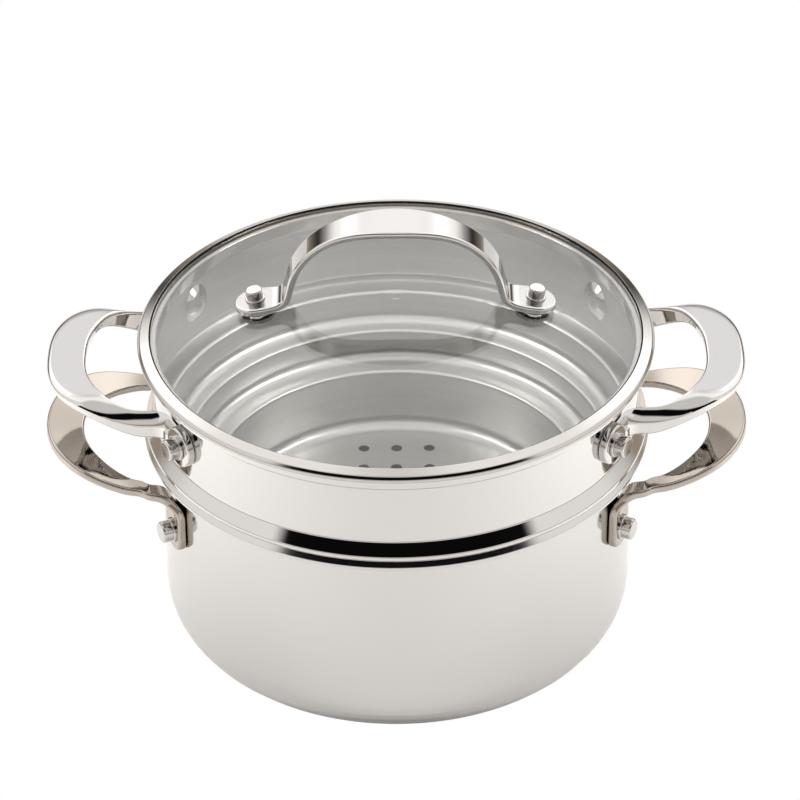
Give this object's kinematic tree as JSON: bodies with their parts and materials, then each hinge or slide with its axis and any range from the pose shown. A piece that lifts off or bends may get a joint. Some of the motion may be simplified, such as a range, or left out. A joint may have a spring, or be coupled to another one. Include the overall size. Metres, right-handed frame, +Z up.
{
  "type": "steamer pot",
  "caption": "Lidded steel saucepot with a stepped, perforated steamer insert, loop side handles and a glass lid.",
  "frame": {"origin": "centre of the pot's flat base, on the surface it stands on", "axes": "+Z up through the lid's centre, X through the side handles and along the lid's handle"},
  "size_m": [0.291, 0.212, 0.1919],
  "materials": {
    "pot_steel": "polished stainless steel outside, satin inside",
    "insert_steel": "mirror-polished stainless steel outside, circular brushed satin inside",
    "lid_handle_steel": "polished cast stainless steel with a satin top",
    "side_handle_steel": "polished stainless steel with satin grip tops",
    "lid_glass": "clear toughened glass with a faint green tint",
    "lid_rim_steel": "rolled stainless steel, satin on top and polished on its edge",
    "rivet_steel": "satin stainless steel",
    "washer_rubber": "matt black silicone"
  },
  "bodies": {
    "pot": {"pot_body": "pot_steel", "pot_handle_left": "side_handle_steel", "pot_handle_right": "side_handle_steel", "pot_rivet_left_front": "rivet_steel", "pot_rivet_left_rear": "rivet_steel", "pot_rivet_right_front": "rivet_steel", "pot_rivet_right_rear": "rivet_steel"},
    "insert": {"insert_body": "insert_steel", "insert_handle_left": "side_handle_steel", "insert_handle_right": "side_handle_steel", "insert_rivet_left_front": "rivet_steel", "insert_rivet_left_rear": "rivet_steel", "insert_rivet_right_front": "rivet_steel", "insert_rivet_right_rear": "rivet_steel"},
    "lid": {"lid_backing_left": "rivet_steel", "lid_backing_right": "rivet_steel", "lid_glass": "lid_glass", "lid_handle": "lid_handle_steel", "lid_rim": "lid_rim_steel", "lid_rivet_left": "rivet_steel", "lid_rivet_right": "rivet_steel", "lid_washer_left": "washer_rubber", "lid_washer_right": "washer_rubber"}
  },
  "joints": [
    {"name": "insert_lift", "type": "slide", "parent": "pot", "child": "insert", "axis": [0, 0, 1], "range_m": [0, 0.08]},
    {"name": "lid_lift", "type": "slide", "parent": "insert", "child": "lid", "axis": [0, 0, 1], "range_m": [0, 0.06]}
  ]
}
